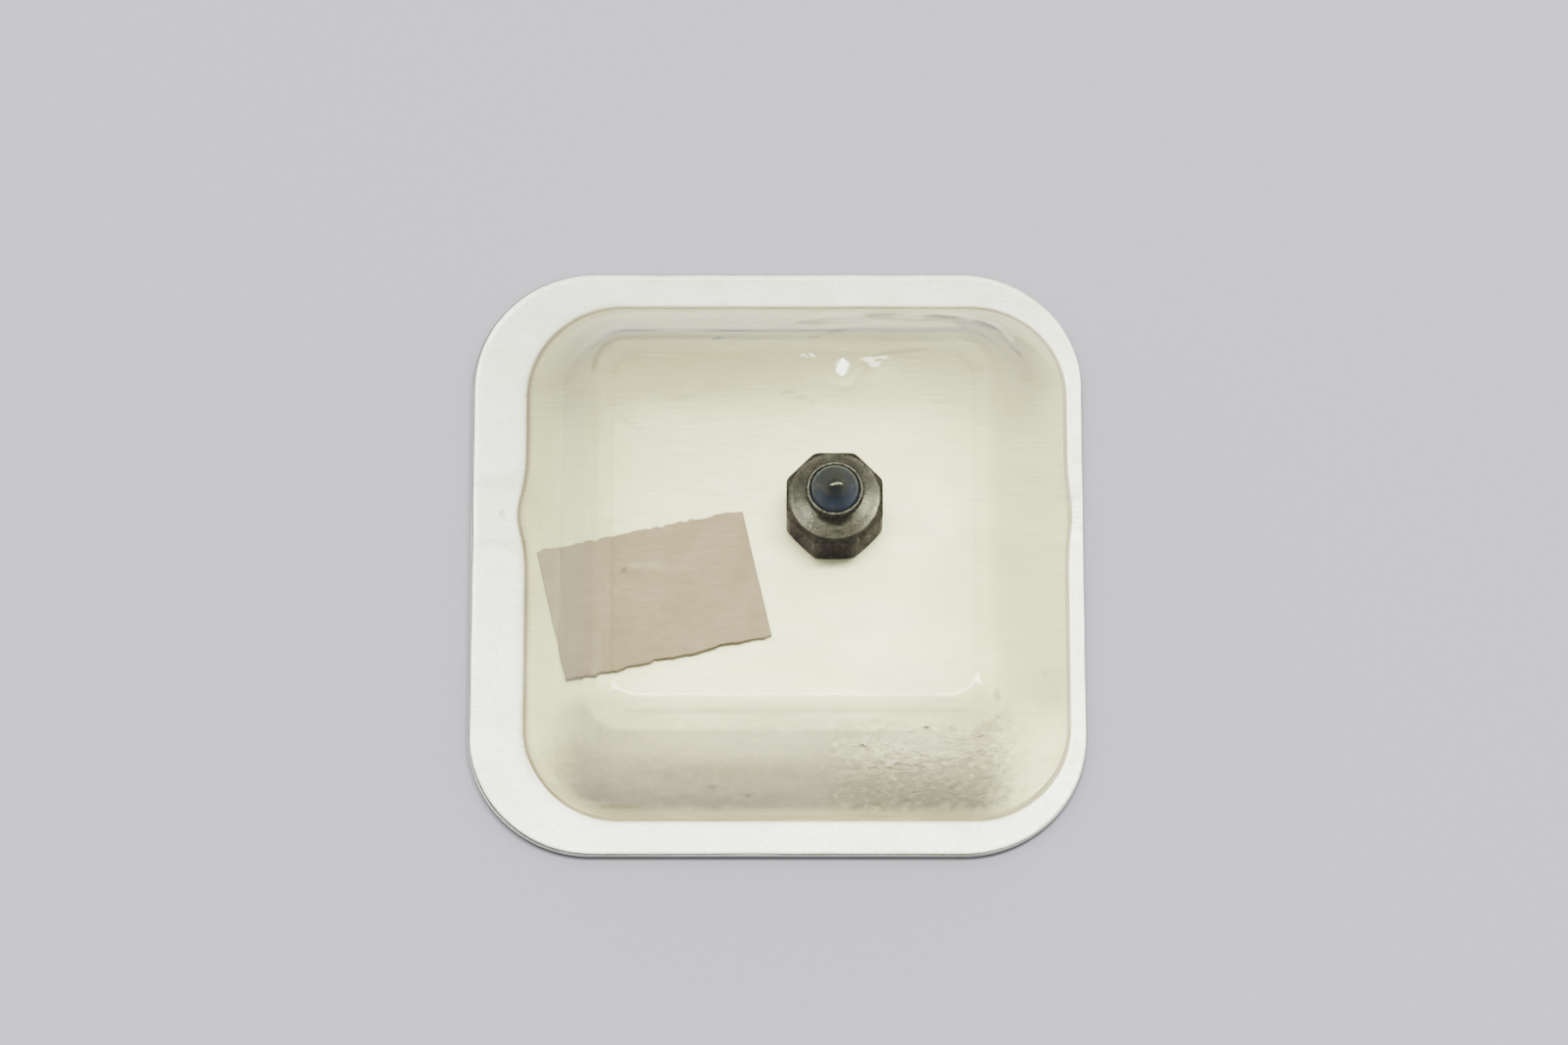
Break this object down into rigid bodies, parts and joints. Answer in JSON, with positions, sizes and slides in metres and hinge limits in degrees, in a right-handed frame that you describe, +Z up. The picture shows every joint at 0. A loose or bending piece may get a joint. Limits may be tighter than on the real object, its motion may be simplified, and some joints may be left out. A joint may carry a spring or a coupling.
{
  "type": "blister-packed watch crown",
  "caption": "Small square sealed blister pack: clear domed lid on a metal plate, with an eight-sided cabochon-set watch crown and a paper slip loose inside.",
  "frame": {"origin": "middle of the backing plate's underside, the lowest face of the pack", "axes": "+Z up out of the plate towards the dome, +X to the right edge (the narrow side of the seal), +Y to the back edge"},
  "size_m": [0.03, 0.03, 0.0063],
  "materials": {
    "plate_aluminium": "satin rolled sheet with a fine grain",
    "seal_lacquer": "dull heat-seal coat",
    "clear_film": "clear thermoformed film, yellowed with age",
    "slip_paper": "soft uncoated paper with torn edges",
    "crown_steel": "fine polished steel",
    "post_steel": "turned steel",
    "gasket_rubber": "matt",
    "retainer_brass": "turned",
    "stone_cement": "hard shellac-like cement",
    "blue_stone": "polished dark blue cabochon"
  },
  "bodies": {
    "pack": {"backing_plate": "plate_aluminium", "seal_lacquer": "seal_lacquer"},
    "dome": {"blister_dome": "clear_film"},
    "slip": {"paper_slip": "slip_paper"},
    "crown": {"crown_cap": "crown_steel", "stem_post": "post_steel", "tube_gasket": "gasket_rubber", "gasket_retainer": "retainer_brass", "stone_collet": "crown_steel", "stone_cement": "stone_cement", "cabochon_stone": "blue_stone"}
  },
  "joints": [
    {"name": "dome_lift", "type": "slide", "parent": "pack", "child": "dome", "axis": [0, 0, 1], "range_m": [0, 0.025]},
    {"name": "crown_lift", "type": "slide", "parent": "pack", "child": "crown", "axis": [0, 0, 1], "range_m": [0, 0.01375]},
    {"name": "slip_lift", "type": "slide", "parent": "pack", "child": "slip", "axis": [0, 0, 1], "range_m": [0, 0.0055]}
  ],
  "couplings": [
    {"joint": "crown_lift", "follows": "dome_lift", "ratio": 0.55},
    {"joint": "slip_lift", "follows": "dome_lift", "ratio": 0.22}
  ]
}
